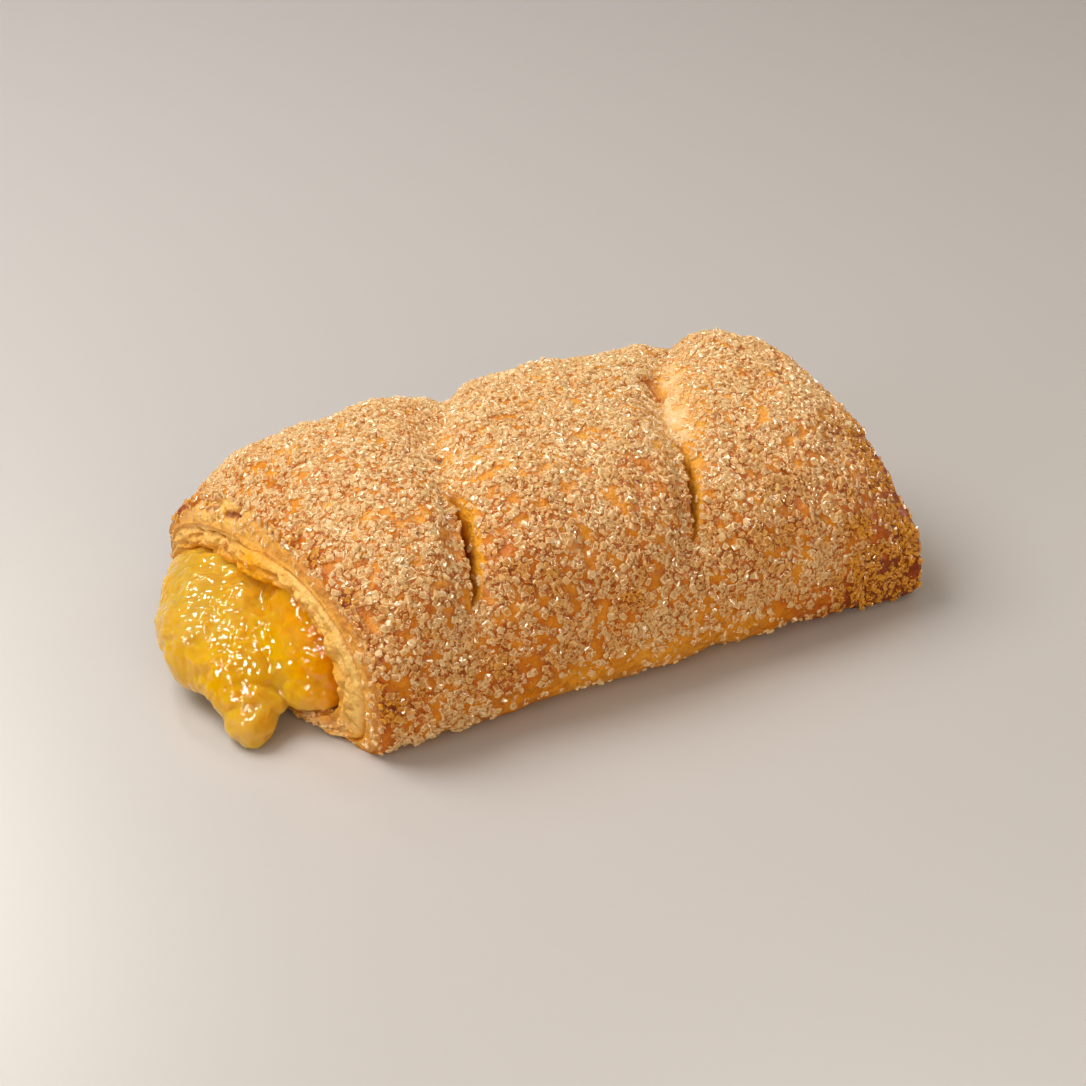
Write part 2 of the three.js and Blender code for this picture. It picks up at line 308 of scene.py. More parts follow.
@dataclass(frozen=True)
class Roll:
    """The form of the roll, in millimetres in its own frame."""

    length: float = 127.0
    front_edge: float = -38.5
    near_skew: float = -0.12
    far_skew: float = -0.08
    tongue_reach: float = 3.6
    tongue_y: float = -17.0
    tongue_half: float = 17.0
    tongue_thick: float = 8.0
    edge_round: float = 3.2
    crease_foot: float = 12.0
    crease_full: float = 30.0
    places: tuple[float, ...] = (0.0, 0.08, 0.2, 0.5, 0.76, 0.9, 1.0)
    sections: tuple[Section, ...] = (
        Section(front=43.0, back=39.5, top=32.0, crest=-10, waist=13, brow=1.95, rear=1.5, base=5.0),
        Section(front=42.8, back=40.0, top=39.0, crest=-5, waist=13, brow=2.2, rear=2.1, base=4.6),
        Section(front=42.5, back=40.0, top=42.3, crest=-2, waist=13, brow=2.3, rear=2.3, base=4.4),
        Section(front=42.0, back=40.0, top=43.2, crest=0, waist=13, brow=2.3, rear=2.4, base=4.2),
        Section(front=41.6, back=40.0, top=41.2, crest=3, waist=12, brow=2.2, rear=2.3, base=4.4),
        Section(front=41.2, back=39.5, top=41.6, crest=6, waist=10, brow=1.95, rear=2.3, base=5.0),
        Section(front=40.2, back=38.5, top=35.8, crest=9, waist=8, brow=1.62, rear=2.1, base=6.0),
    )
    near_mouth: Section = Section(
        front=28.5, back=33.5, top=23.6, crest=-9, waist=8, brow=2.1, rear=1.5, base=3.0, foot=2.8
    )
    far_mouth: Section = Section(
        front=22.0, back=27.0, top=22.0, crest=4, waist=10, brow=2.0, rear=2.0, base=3.0, foot=4.0
    )
    creases: tuple[Crease, ...] = (
        Crease(
            x=-29.6, lean=0.27, back_lean=0.55, depth=3.8, width=6.0, slit_y=-26.5, slit_length=20.0,
            slit_drop=5.2, strip=3.6, tear_y=-4.5, tear_length=4.0, pale_from=-15.0, pale_to=9.0,
            bleach=0.4,
        ),
        Crease(
            x=22.3, lean=0.37, back_lean=0.66, depth=3.2, width=5.5, slit_y=-27.0, slit_length=18.0,
            slit_drop=4.6, strip=3.2, tear_y=0.0, tear_length=5.5, pale_from=-18.0, pale_to=14.0,
            bleach=1.0,
        ),
    )
    folds: tuple[Fold, ...] = (
        Fold((-61.5, 6.9), (-54.5, 5.6)),
        Fold((-61.8, 9.5), (-61.2, 1.5), 0.7, 0.7),
        Fold((-43.0, 6.0), (-38.0, 14.0), 0.7, 0.6),
        Fold((3.0, 4.0), (9.0, 13.0), 0.7, 0.6),
        Fold((30.0, 18.0), (37.5, 21.0), 0.9, 0.8),
        Fold((48.0, -6.0), (53.0, 4.0), 0.7, 0.6),
        Fold((-20.0, 24.0), (-12.0, 27.0), 0.8, 0.7),
        Fold((-69.6, 23.5), (-69.0, 18.5), 0.4, 1.2, 0.7),
        Fold((-68.9, 15.5), (-67.6, 8.5), 0.45, 1.4, 0.8),
        Fold((22.6, 5.5), (24.6, 1.5), 1.9, 1.6, 0.35),
        Fold((46.0, -9.6), (47.2, -10.6), 0.6, 1.2, 1.0),
    )

    def section_at(self, place: float) -> Section:
        """The section at a place along the roll.

        Args:
            place: From 0 at the near lip to 1 at the far lip.

        Returns:
            The section, on a smooth curve through the given ones.
        """
        last = len(self.places) - 1
        i = max(0, min(last - 1, int(np.searchsorted(self.places, place, side="left")) - 1))
        before, after = max(i - 1, 0), min(i + 2, last)
        span = self.places[i + 1] - self.places[i]
        t = (place - self.places[i]) / span
        size = {}
        for f in fields(Section):
            a, b = getattr(self.sections[i], f.name), getattr(self.sections[i + 1], f.name)
            p, q = getattr(self.sections[before], f.name), getattr(self.sections[after], f.name)
            slope_a = (b - p) / (self.places[i + 1] - self.places[before]) * span
            slope_b = (q - a) / (self.places[after] - self.places[i]) * span
            size[f.name] = (
                a * (2 * t**3 - 3 * t**2 + 1)
                + slope_a * (t**3 - 2 * t**2 + t)
                + b * (3 * t**2 - 2 * t**3)
                + slope_b * (t**3 - t**2)
            )
        return Section(**size)

    def near_lip(self, y: np.ndarray, z: np.ndarray) -> np.ndarray:
        """Where the near lip lies along the roll: cut askew, with a short tongue underneath."""
        off = (y - self.tongue_y) / self.tongue_half
        tongue = self.tongue_reach * np.maximum(0, 1 - off**2) * (1 - smoothstep(z, 0, self.tongue_thick))
        return -self.length / 2 + self.near_skew * (y - self.front_edge) - tongue

    def far_lip(self, y: np.ndarray) -> np.ndarray:
        """Where the far lip lies along the roll."""
        return self.length / 2 + self.far_skew * (y - self.front_edge)

    def edge_tuck(self, place: float) -> float:
        """How far the outside is drawn in beside a lip, where the sheet's edge is rounded."""
        short = max(0.0, self.edge_round - min(place, 1 - place) * self.length)
        return self.edge_round - math.sqrt(self.edge_round**2 - short**2)

    def crust_ring(self, place: float, counts: tuple[int, int, int, int]) -> np.ndarray:
        """A ring of points round the outside.

        Args:
            place: From 0 at the near lip to 1 at the far lip.
            counts: Steps on each quarter of the ring.

        Returns:
            The points, one row each.
        """
        section = self.section_at(place)
        y, z = section.ring(counts)
        x = self.near_lip(y, z) * (1 - place) + self.far_lip(y) * place
        sink = sum(crease.sink(x, y) for crease in self.creases)
        sink = sink * smoothstep(z, self.crease_foot, self.crease_full) + self.edge_tuck(place)
        rise = np.hypot(y - section.crest, z - section.waist)
        shrink = (rise - sink) / rise
        y = section.crest + (y - section.crest) * shrink
        z = np.maximum(0.0, section.waist + (z - section.waist) * shrink)
        return np.stack([x, y, z], axis=1)

    def core_ring(self, share: float, counts: tuple[int, int, int, int]) -> np.ndarray:
        """A ring round the hollow for the jam, its places along the roll left at the lips' line.

        Args:
            share: From 0 at the near mouth to 1 at the far mouth.
            counts: Steps on each quarter of the ring.

        Returns:
            The points, one row each.
        """
        y, z = self.near_mouth.mixed(self.far_mouth, share).ring(counts)
        x = self.near_lip(y, z) * (1 - share) + self.far_lip(y) * share
        return np.stack([x, y, z], axis=1)


def woven_skin(name: str, rings: list[np.ndarray], cyclic: bool) -> bmesh.types.BMesh:
    """Lay a grid over rows of points and weld it into one closed skin.

    Args:
        name: A word for the log.
        rings: The rows, each a closed ring whose first point is repeated at its end.
        cyclic: Whether the last row joins the first; otherwise each end is drawn to its middle.

    Returns:
        The welded mesh, faces outwards, with the number of its row on each point.
    """
    rows = list(rings)
    if cyclic:
        rows.append(rows[0])
    else:
        rows.insert(0, np.repeat(rings[0].mean(0, keepdims=True), len(rings[0]), 0))
        rows.append(np.repeat(rings[-1].mean(0, keepdims=True), len(rings[-1]), 0))
    points = np.stack(rows)
    down, around = points.shape[0] - 1, points.shape[1] - 1
    mesh = bmesh.new()
    bmesh.ops.create_grid(mesh, x_segments=around, y_segments=down, size=1.0)
    row_of = mesh.verts.layers.float.new("row")
    for vert in mesh.verts:
        i = round((vert.co.y + 1) / 2 * down)
        j = round((vert.co.x + 1) / 2 * around)
        vert.co = points[i, j]
        vert[row_of] = i
    bmesh.ops.remove_doubles(mesh, verts=mesh.verts[:], dist=WELD)
    bmesh.ops.recalc_face_normals(mesh, faces=mesh.faces[:])
    LOG.info("%s: %d points in the skin", name, len(mesh.verts))
    return mesh


def shown(name: str, data: bpy.types.Mesh) -> bpy.types.Object:
    """Put a mesh in the scene as a piece of that name."""
    piece = bpy.data.objects.new(name, data)
    bpy.context.scene.collection.objects.link(piece)
    return piece


def pushed(mesh: bmesh.types.BMesh, moves: list[Vector]) -> None:
    """Move each point of a mesh by its own move, but keep what rests on the plate there."""
    for vert, move in zip(mesh.verts, moves):
        if vert.co.z < RESTING:
            move.z = 0.0
        vert.co += move
        vert.co.z = max(0.0, vert.co.z)


def finished(mesh: bmesh.types.BMesh, name: str) -> bpy.types.Object:
    """Move a mesh from the roll's millimetres into the part's metres and show it smooth.

    Args:
        mesh: The mesh, which is freed.
        name: The piece's name.

    Returns:
        The piece.
    """
    mesh.verts.layers.float.remove(mesh.verts.layers.float["row"])
    bmesh.ops.translate(mesh, verts=mesh.verts[:], vec=-Vector(BOX_MIDDLE))
    bmesh.ops.scale(mesh, verts=mesh.verts[:], vec=(MM, MM, MM))
    for face in mesh.faces:
        face.smooth = True
    data = bpy.data.meshes.new(name)
    mesh.to_mesh(data)
    mesh.free()
    return shown(name, data)


class Nodes:
    """Short ways to add nodes to a shader tree."""

    def __init__(self, tree: bpy.types.NodeTree) -> None:
        """Work on a tree."""
        self.tree = tree

    def add(self, kind: str, **settings: object) -> bpy.types.Node:
        """Add a node of a kind, with its settings."""
        node = self.tree.nodes.new(kind)
        for key, value in settings.items():
            setattr(node, key, value)
        return node

    def feed(self, socket: bpy.types.NodeSocket, value: object) -> None:
        """Give a socket another socket's value or a fixed one."""
        if isinstance(value, bpy.types.NodeSocket):
            self.tree.links.new(value, socket)
        else:
            socket.default_value = value

    def math(self, operation: str, a: object, b: object = 0.0, clamp: bool = False) -> bpy.types.NodeSocket:
        """Combine two values or sockets by a Math node."""
        node = self.add("ShaderNodeMath", operation=operation, use_clamp=clamp)
        self.feed(node.inputs[0], a)
        self.feed(node.inputs[1], b)
        return node.outputs[0]


class Group(Nodes):
    """A shader node group with number inputs and one output, named Color or Value after its kind."""

    def __init__(self, name: str, inputs: dict[str, float], output: str) -> None:
        """Start the group with the first values of its inputs."""
        super().__init__(bpy.data.node_groups.new(name, "ShaderNodeTree"))
        for key, value in inputs.items():
            socket = self.tree.interface.new_socket(key, in_out="INPUT", socket_type="NodeSocketFloat")
            socket.default_value = value
        kind = "NodeSocketColor" if output == "Color" else "NodeSocketFloat"
        self.tree.interface.new_socket(output, in_out="OUTPUT", socket_type=kind)
        self.given = self.add("NodeGroupInput").outputs
        self.result = self.add("NodeGroupOutput").inputs[output]


@dataclass(frozen=True)
class OvenColours:
    """The colours that the dough takes in the oven, from pale to dark, as a node group."""

    pale: tuple = srgb(246, 214, 168)
    golden: tuple = srgb(228, 156, 38)
    amber: tuple = srgb(204, 121, 4)
    brown: tuple = srgb(178, 84, 2)
    dark: tuple = srgb(128, 50, 2)
    tones: tuple[float, ...] = (0.0, 0.3, 0.55, 0.8, 1.0)

    def tree(self) -> bpy.types.NodeTree:
        """Build the group, or find it again."""
        if "oven_colours" in bpy.data.node_groups:
            return bpy.data.node_groups["oven_colours"]
        group = Group("oven_colours", {"Tone": 0.4}, "Color")
        ramp = group.add("ShaderNodeValToRGB")
        colours = (self.pale, self.golden, self.amber, self.brown, self.dark)
        while len(ramp.color_ramp.elements) < len(colours):
            ramp.color_ramp.elements.new(1.0)
        for element, place, colour in zip(ramp.color_ramp.elements, self.tones, colours):
            element.position = place
            element.color = colour
        group.feed(ramp.inputs["Fac"], group.given["Tone"])
        group.feed(group.result, ramp.outputs["Color"])
        return group.tree


def mottle_tree() -> bpy.types.NodeTree:
    """Build the group for unevenness, -0.5 to 0.5 times its amount, or find it again."""
    if "mottle" in bpy.data.node_groups:
        return bpy.data.node_groups["mottle"]
    group = Group("mottle", {"Lump Size": 0.005, "Detail": 3.0, "Amount": 1.0}, "Value")
    texture = group.add("ShaderNodeTexNoise")
    group.feed(texture.inputs["Vector"], group.add("ShaderNodeTexCoord").outputs["Object"])
    group.feed(texture.inputs["Scale"], group.math("DIVIDE", 1.0, group.given["Lump Size"]))
    group.feed(texture.inputs["Detail"], group.given["Detail"])
    centred = group.math("SUBTRACT", texture.outputs["Fac"], 0.5)
    group.feed(group.result, group.math("MULTIPLY", centred, group.given["Amount"]))
    return group.tree


class Shader(Nodes):
    """A material in the making: a Principled BSDF and short ways to add nodes before it."""

    def __init__(self, name: str) -> None:
        """Start the material."""
        self.material = bpy.data.materials.new(name)
        self.material.use_nodes = True
        super().__init__(self.material.node_tree)
        self.principled = self.tree.nodes["Principled BSDF"]

    def set(self, **values: object) -> None:
        """Feed sockets of the Principled BSDF, their names with _ for each space."""
        for key, value in values.items():
            self.feed(self.principled.inputs[key.replace("_", " ")], value)

    def attribute(self, name: str) -> bpy.types.NodeSocket:
        """The value of one of the piece's own attributes."""
        return self.add("ShaderNodeAttribute", attribute_name=name).outputs["Fac"]

    def mottle(self, size: float, detail: float = 3.0, amount: float = 1.0) -> bpy.types.NodeSocket:
        """Unevenness with lumps of a size in metres, from the shared group."""
        node = self.add("ShaderNodeGroup", node_tree=mottle_tree())
        for key, value in (("Lump Size", size), ("Detail", detail), ("Amount", amount)):
            node.inputs[key].default_value = value
        return node.outputs["Value"]

    def oven(self, tone: object) -> bpy.types.NodeSocket:
        """The colour of dough baked to a tone, from the shared group."""
        node = self.add("ShaderNodeGroup", node_tree=OvenColours().tree())
        self.feed(node.inputs["Tone"], tone)
        return node.outputs["Color"]

    def mix(self, share: object, a: object, b: object) -> bpy.types.NodeSocket:
        """Mix two colours or sockets."""
        node = self.add("ShaderNodeMix", data_type="RGBA", clamp_factor=True)
        for socket, value in ((node.inputs[0], share), (node.inputs[6], a), (node.inputs[7], b)):
            self.feed(socket, value)
        return node.outputs[2]

    def emboss(self, height: bpy.types.NodeSocket, depth: float) -> None:
        """Give the surface a bump of a depth in metres."""
        node = self.add("ShaderNodeBump")
        node.inputs["Distance"].default_value = depth
        self.feed(node.inputs["Height"], height)
        self.feed(self.principled.inputs["Normal"], node.outputs["Normal"])


@dataclass(frozen=True)
class CrustFinish:
    """Baked pastry: golden, browner where it stands proud and at the ends, pale where it tore, and darkened
    with painted shade in the slits, the layer gaps and between the sugar grains.
    """

    crumb: tuple = srgb(240, 199, 114)
    crumb_deep: tuple = srgb(216, 154, 64)
    stain: tuple = srgb(232, 158, 6)
    dust: tuple = srgb(246, 190, 92)

    def material(self) -> bpy.types.Material:
        """Build the material."""
        shader = Shader("crust")
        specks = shader.mottle(0.0020, 3.0, 0.45)
        # The tone holds the browning and the painted shade.
        tone = shader.math("ADD", shader.attribute("bake"), shader.mottle(0.006, 3.0, 0.34))
        tone = shader.math("ADD", tone, specks, clamp=True)
        skin = shader.oven(tone)
        share = shader.math("ADD", shader.mottle(0.0025, 4.0, 1.8), 0.4, clamp=True)
        crumb = shader.mix(share, self.crumb, self.crumb_deep)
        # Painted shade in the slits, the tears and the layer gaps, and the darker folds, show the skin's
        # colour in place of the cream crumb.
        bare = shader.math("SUBTRACT", shader.attribute("crumb"), shader.attribute("painted_shade_and_darkening"), clamp=True)
        colour = shader.mix(bare, skin, crumb)
        colour = shader.mix(shader.attribute("stain"), colour, self.stain)
        dust = shader.mottle(0.0009, 1.0, 1.6)
        dust = shader.math("MULTIPLY", dust, shader.attribute("sugar"), clamp=True)
        shader.set(Base_Color=shader.mix(dust, colour, self.dust))
        shader.set(Roughness=shader.math("ADD", shader.mottle(0.006, 2.0, 0.3), 0.42))
        flakes = shader.math("ADD", shader.mottle(0.0011, 2.0), shader.mottle(0.0024, 2.0, 1.6))
        melted = shader.math("MULTIPLY", dust, 2.5)
        shader.emboss(shader.math("ADD", flakes, melted), 0.0006)
        shader.set(Subsurface_Weight=0.15, Subsurface_Radius=(1.0, 0.5, 0.2), Subsurface_Scale=0.0015)
        shader.set(Coat_Weight=0.06, Coat_Roughness=0.2, Specular_IOR_Level=0.2)
        return shader.material


@dataclass(frozen=True)
class CrumbFinish:
    """Loose crumbs: torn dough, lightly baked."""

    cream: tuple = srgb(238, 190, 108)

    def material(self) -> bpy.types.Material:
        """Build the material."""
        shader = Shader("crumbs")
        tone = shader.math("ADD", shader.attribute("tone"), shader.mottle(0.003, 3.0, 0.6), clamp=True)
        colour = shader.mix(shader.attribute("rim"), shader.oven(tone), self.cream)
        shader.set(Base_Color=colour, Roughness=0.6)
        shader.emboss(shader.mottle(0.0008, 4.0), 0.0003)
        return shader.material


@dataclass(frozen=True)
class SugarFinish:
    """Coarse sugar: pale rims painted as highlights, beside see-through middles that show the crust below.
    """

    bright: tuple = srgb(255, 231, 182)
    straw: tuple = srgb(250, 196, 108)
    baked_bright: tuple = srgb(251, 186, 62)
    baked_straw: tuple = srgb(228, 141, 6)

    def material(self) -> bpy.types.Material:
        """Build the material."""
        shader = Shader("sugar")
        rim = shader.attribute("rim")
        # Grains on darker crust take the baked colours, so the crust's painted shade carries into them.
        late = shader.math("MULTIPLY", shader.attribute("tone"), 4.0)
        late = shader.math("SUBTRACT", late, 2.7, clamp=True)
        body = shader.mix(late, self.straw, self.baked_straw)
        edge = shader.mix(late, self.bright, self.baked_bright)
        # The rims take the pale colours: a painted highlight for the light that glassy grains catch at
        # their edges.
        shader.set(Base_Color=shader.mix(rim, body, edge), Roughness=0.25, IOR=1.5)
        shader.set(Specular_IOR_Level=0.6, Coat_Weight=0.3, Coat_Roughness=0.1)
        shader.set(Alpha=shader.math("ADD", shader.math("MULTIPLY", rim, 0.65), 0.22))
        return shader.material


@dataclass(frozen=True)
class JamFinish:
    """Pineapple jam: clear amber jelly with pale fruit, wet all over, with painted light where it hangs low
    and painted shade where it lies under the pastry.
    """

    # The darker orange of thick jelly, also painted as shade under the roof and inside the roll.
    deep_and_painted_shade: tuple = srgb(220, 138, 0)
    jelly: tuple = srgb(218, 165, 0)
    # The pale fruit's colour, also used as painted light where the jam hangs low.
    pulp_and_painted_light: tuple = srgb(206, 164, 62)

    def material(self) -> bpy.types.Material:
        """Build the material."""
        shader = Shader("jam")
        share = shader.math("ADD", shader.attribute("pulp_and_painted_light"), shader.mottle(0.003, 3.0, 0.7), clamp=True)
        colour = shader.mix(share, self.jelly, self.pulp_and_painted_light)
        # The depth attribute lays on the darker jelly with its painted shade.
        shader.set(Base_Color=shader.mix(shader.attribute("depth"), colour, self.deep_and_painted_shade))
        calm = shader.math("ADD", shader.mottle(0.006, 1.0, 5.0), 0.55, clamp=True)
        shader.emboss(shader.math("MULTIPLY", shader.mottle(0.0013, 0.0), calm), 0.0004)
        shader.set(Roughness=0.06, IOR=1.42, Specular_IOR_Level=0.5)
        shader.set(Subsurface_Weight=1.0, Subsurface_Radius=(1.0, 0.6, 0.1), Subsurface_Scale=0.006)
        shader.set(Coat_Weight=0.2, Coat_Roughness=0.03)
        return shader.material


@dataclass(frozen=True)
class FloorFinish:
    """Plain, pale, softly glossy floor."""

    colour: tuple = srgb(190, 186, 184)

    def material(self) -> bpy.types.Material:
        """Build the material."""
        shader = Shader("floor")
        shade = tuple(c * 0.97 for c in self.colour[:3]) + (1.0,)
        share = shader.math("ADD", shader.mottle(0.4, 2.0), 0.5, clamp=True)
        shader.set(Base_Color=shader.mix(share, self.colour, shade), Roughness=0.35, Specular_IOR_Level=0.4)
        return shader.material


@dataclass
class Look:
    """How one point of the crust is finished."""

    bake: float = 0.35
    crumb: float = 0.0
    stain: float = 0.0
    painted_shade_and_darkening: float = 0.0
    sugar: float = 0.0
    crumbs: float = 0.0


@dataclass
class Crust:
    """The folded sheet of pastry, from its outside round both lips into the hollow."""

    roll: Roll
    finish: CrustFinish = CrustFinish()
    counts: tuple[int, int, int, int] = (96, 100, 42, 32)
    along: int = 236
    slit_places: tuple[float, float] = (-36.5, 12.5)
    slit_spread: float = 4.5
    lip_spread: float = 0.02
    lip_rings: int = 46
    wall_rings: int = 14
    lip_steps: tuple[float, ...] = (0.0, 0.05, 0.2, 0.3, 0.6, 0.85, 1.0)
    lip_recess: tuple[float, ...] = (0.3, 0.0, 0.1, -0.3, -0.9, -0.3, 1.4)
    gap_place: float = 0.155
    gap_depth: float = 2.0
    sheets_end: float = 1.1
    slits_above: float = 14.0
    folds_above: float = 16.0
    sag: float = 1.8
    sag_y: float = 2.0
    sag_half: float = 17.0
    lump_y: float = -2.0
    crack_y: float = 17.0
    regions: list[Region] = field(default_factory=list)
    shares: list[float] = field(default_factory=list)

    def lip_ring(self, near: bool, across: float) -> np.ndarray:
        """A ring on the face of a lip.

        Args:
            near: Whether it is the near lip.
            across: From 0 at the outer edge to 1 at the mouth.

        Returns:
            The points, one row each.
        """
        roll = self.roll
        edge = roll.crust_ring(0.0 if near else 1.0, self.counts)
        mouth = roll.core_ring(0.0 if near else 1.0, self.counts)
        if near:
            sagging = np.exp(-(((mouth[:, 1] - self.sag_y) / self.sag_half) ** 2))
            mouth[:, 2] -= self.sag * sagging * smoothstep(mouth[:, 2], 12, 20)
        y = edge[:, 1] * (1 - across) + mouth[:, 1] * across
        z = edge[:, 2] * (1 - across) + mouth[:, 2] * across
        plane = roll.near_lip(y, z) if near else roll.far_lip(y)
        settle = min(1.0, across * 4)
        x = edge[:, 0] * (1 - settle) + plane * settle
        return np.stack([x, y, z], axis=1)

    def places_along(self) -> np.ndarray:
        """Places of the outside's rings, closer together at the lips and the slits."""
        t = np.linspace(0.0, 1.0, 5 * FINE + 1)
        x = (t - 0.5) * self.roll.length
        density = np.ones(len(t))
        for slit in self.slit_places:
            density += 1.4 * np.exp(-(((x - slit) / self.slit_spread) ** 2))
        lips = 1.8 * np.exp(-((t / self.lip_spread) ** 2))
        density += lips + 1.0 * np.exp(-(((t - 1) / self.lip_spread) ** 2))
        total = np.concatenate([[0.0], np.cumsum((density[1:] + density[:-1]) / 2)])
        return np.interp(np.linspace(0.0, total[-1], self.along + 1), total, t)[1:-1]

    def rings(self) -> list[np.ndarray]:
        """All rings, in one closed run: near lip, outside, far lip, and back along the wall."""
        rows: list[np.ndarray] = []

        def lay(region: Region, share: float, ring: np.ndarray) -> None:
            """Add a ring to the run."""
            rows.append(ring)
            self.regions.append(region)
            self.shares.append(share)

        steps = np.linspace(0.0, 1.0, self.lip_rings).tolist()
        for across in steps[::-1]:
            lay(Region.NEAR_LIP, across, self.lip_ring(True, across))
        for place in self.places_along().tolist():
            lay(Region.OUTSIDE, place, self.roll.crust_ring(place, self.counts))
        for across in steps:
            lay(Region.FAR_LIP, across, self.lip_ring(False, across))
        far, near = rows[-1], rows[0]
        for k in range(1, self.wall_rings):
            share = 1 - k / self.wall_rings
            ring = self.roll.core_ring(share, self.counts)
            ring[:, 0] = near[:, 0] * (1 - share) + far[:, 0] * share
            lay(Region.WALL, share, ring)
        return rows

    def outside_relief(self, x: float, y: float, z: float) -> float:
        """Height of the crags, blisters and flake edges of the crust at a point, in millimetres."""
        rough = partial(grain, x, y, z)
        swell = 0.6 * rough(13.0) + 0.42 * rough(6.0, 3.0)
        blister = 0.3 * rough(2.8, 7.0)
        crackle = 0.14 * abs(rough(1.4, 11.0))
        sheet = rough(9.0, 17.0) + 0.25 * rough(2.0, 18.0)
        flake = 0.35 * ease(sheet, 0.12, 0.2) + 0.3 * ease(sheet, -0.3, -0.22)
        seam = 0.0
        if y < 0 and z < 12:
            seam = -0.8 * bell(z, 6.0 + 0.08 * (x + 30), 0.8) * bell(x, -27.0, 15.0)
        return swell + blister - crackle + flake - 0.3 + seam

    def roof_at(self, y: float, z: float) -> float:
        """How far a point at the near lip belongs to its flaky upper left, 0 to 1."""
        return bell(y, self.crack_y, 14.0) * ease(z, 13.0, 20.0)

    def sheet_edges(self, x: float, y: float, z: float, place: float) -> tuple[float, float]:
        """Edges of the thin sheets that show where the outside rounds over into a lip.

        Args:
            x, y, z: The point, in millimetres.
            place: Share of the way along, 0 to 1.

        Returns:
            How far the surface rises there, and how bare and cream it is, 0 to 1.
        """
        away = min(place, 1 - place) * self.roll.length
        if away > self.sheets_end + 5:
            return 0.0, 0.0
        rough = partial(grain, x, y, z)
        roof = self.roof_at(y, z) if place < 0.5 else 0.0
        end = self.sheets_end + 1.3 * roof
        away += (0.5 + roof) * rough(5.0, 51.0) + 0.3 * rough(1.6, 52.0)
        bare = 1 - ease(away, end - 0.3, end + 0.3)
        lines = 0.12 * bare * math.sin(9.0 * away)
        groove = -0.5 * bell(away, end, 0.3) * ease(rough(6.0, 53.0), -0.4, 0.0)
        rise = groove + lines - 0.15 * bare + 0.3 * bell(away, end + 0.9, 0.7)
        flaky = ease(rough(3.0, 54.0), -0.1, 0.05) + 0.8 * rough(1.5, 55.0) - 0.5
        return rise + 0.8 * roof * bare * flaky, bare * (0.35 + 0.6 * roof)

    def dress_outside(self, x: float, y: float, z: float, place: float) -> tuple[float, float, Look]:
        """Shape and finish one point of the outside.

        Args:
            x, y, z: The point, in millimetres.
            place: Share of the way along, 0 to 1.

        Returns:
            How far it rises, how far it is pushed along the roll, and its finish.
        """
        rough = partial(grain, x, y, z)
        height = self.outside_relief(x, y, z)
        push, torn, deep_and_painted_shade, pale, pressed, fold_darkening = 0.0, 0.0, 0.0, 0.0, 0.0, 0.0
        # The slits and the tears, and the pale dough beside them.
        if z > self.slits_above:
            for crease in self.roll.creases:
                cut = crease.cut(x, y)
                height = height * (1 - 0.6 * cut.torn) - cut.drop
                torn, deep_and_painted_shade, push = max(torn, cut.torn), max(deep_and_painted_shade, cut.deep_and_painted_shade), max(push, cut.push)
                pale = max(pale, crease.pale(x, y))
        # The short folds, which are bare and darker inside.
        if z > self.folds_above:
            for fold in self.roll.folds:
                hold = fold.press(x, y)
                pressed, fold_darkening = max(pressed, hold), max(fold_darkening, fold.darkening * hold)
                height -= fold.depth * hold
        pale = min(1.0, pale * (0.9 + 0.5 * rough(3.0, 4.0)))
        if pale > 0.2:
            height += pale * (0.35 * abs(rough(2.4, 23.0)) - 0.25)
        # The tone: browner at the lips and the corners, darker towards the front, and paler where the dough
        # tore. Low on the front near the far end the darker tone is partly painted shade.
        lips = 0.22 * bell(place, 0.0, 0.03) + 0.2 * bell(place, 1.0, 0.07)
        left = bell(place, 0.0, 0.05) * ease(y, 23.0, 32.0)
        lips += 0.4 * left
        corner_brown_and_shade = 0.2 * bell(place, 1.0, 0.12) * ease(-y, 12.0, 38.0)
        # Low on the front near the far end: browner crust, and painted shade.
        corner_brown_and_shade += 0.5 * ease(place, 0.62, 0.88) * (1 - ease(z, 4.0, 16.0)) * ease(-y, 20.0, 34.0)
        low = (1 - ease(z + 1.5 * rough(7.0, 33.0), 6.0, 12.0)) if y < 0 else 0.0
        low *= ease(place, 0.12, 0.24) * (1 - ease(place, 0.74, 0.86))
        front = 0.12 * ease(-y, 16.0, 38.0)
        tone = 0.36 + lips + corner_brown_and_shade + front - 0.12 * low + 0.2 * rough(14.0, 1.5)
        # Painted shade darkens the slits and the tears' holes, and the folds are darker.
        tone = tone * (1 - 0.95 * pale) + 0.55 * deep_and_painted_shade + fold_darkening
        # The sugar, which lies thinner on the front and leaves the slits, folds and foot bare.
        clump = rough(3.1, 8.0) + 0.5 * rough(1.8, 9.0)
        cover = ease(clump, -0.85 + 0.35 * ease(-y, 5.0, 36.0), 0.3)
        cover *= (1 - 0.97 * torn) * (1 - 0.95 * deep_and_painted_shade)
        cover *= (1 - min(0.95, 1.2 * pale)) * (1 - 0.9 * pressed) * (1 - 0.9 * low)
        cover *= ease(z, 0.8, 3.5) * (1 - 0.35 * (1 - ease(z, 5.0, 14.0)))
        # The edges of the sheets beside the lips.
        step, bare = self.sheet_edges(x, y, z, place)
        height = height * (1 - 0.5 * bare) + step
        cover *= (1 - min(0.93, 2.5 * bare)) * (1 - 0.6 * left)
        # Darker amber under the sugar, which is partly painted shade between the grains; paler on the bare
        # sheet edges.
        tone += 0.32 * cover - 0.1 * bare
        # Where the slits and tears take painted shade, crumb and stain give way to the darker skin.
        look = Look(
            bake=clamped(tone), crumb=min(1.0, 0.5 * torn + 0.15 * pale + bare),
            stain=max(0.0, 0.7 * torn - 0.75 * deep_and_painted_shade), painted_shade_and_darkening=max(0.9 * deep_and_painted_shade, fold_darkening), sugar=cover,
        )
        return height, push, look

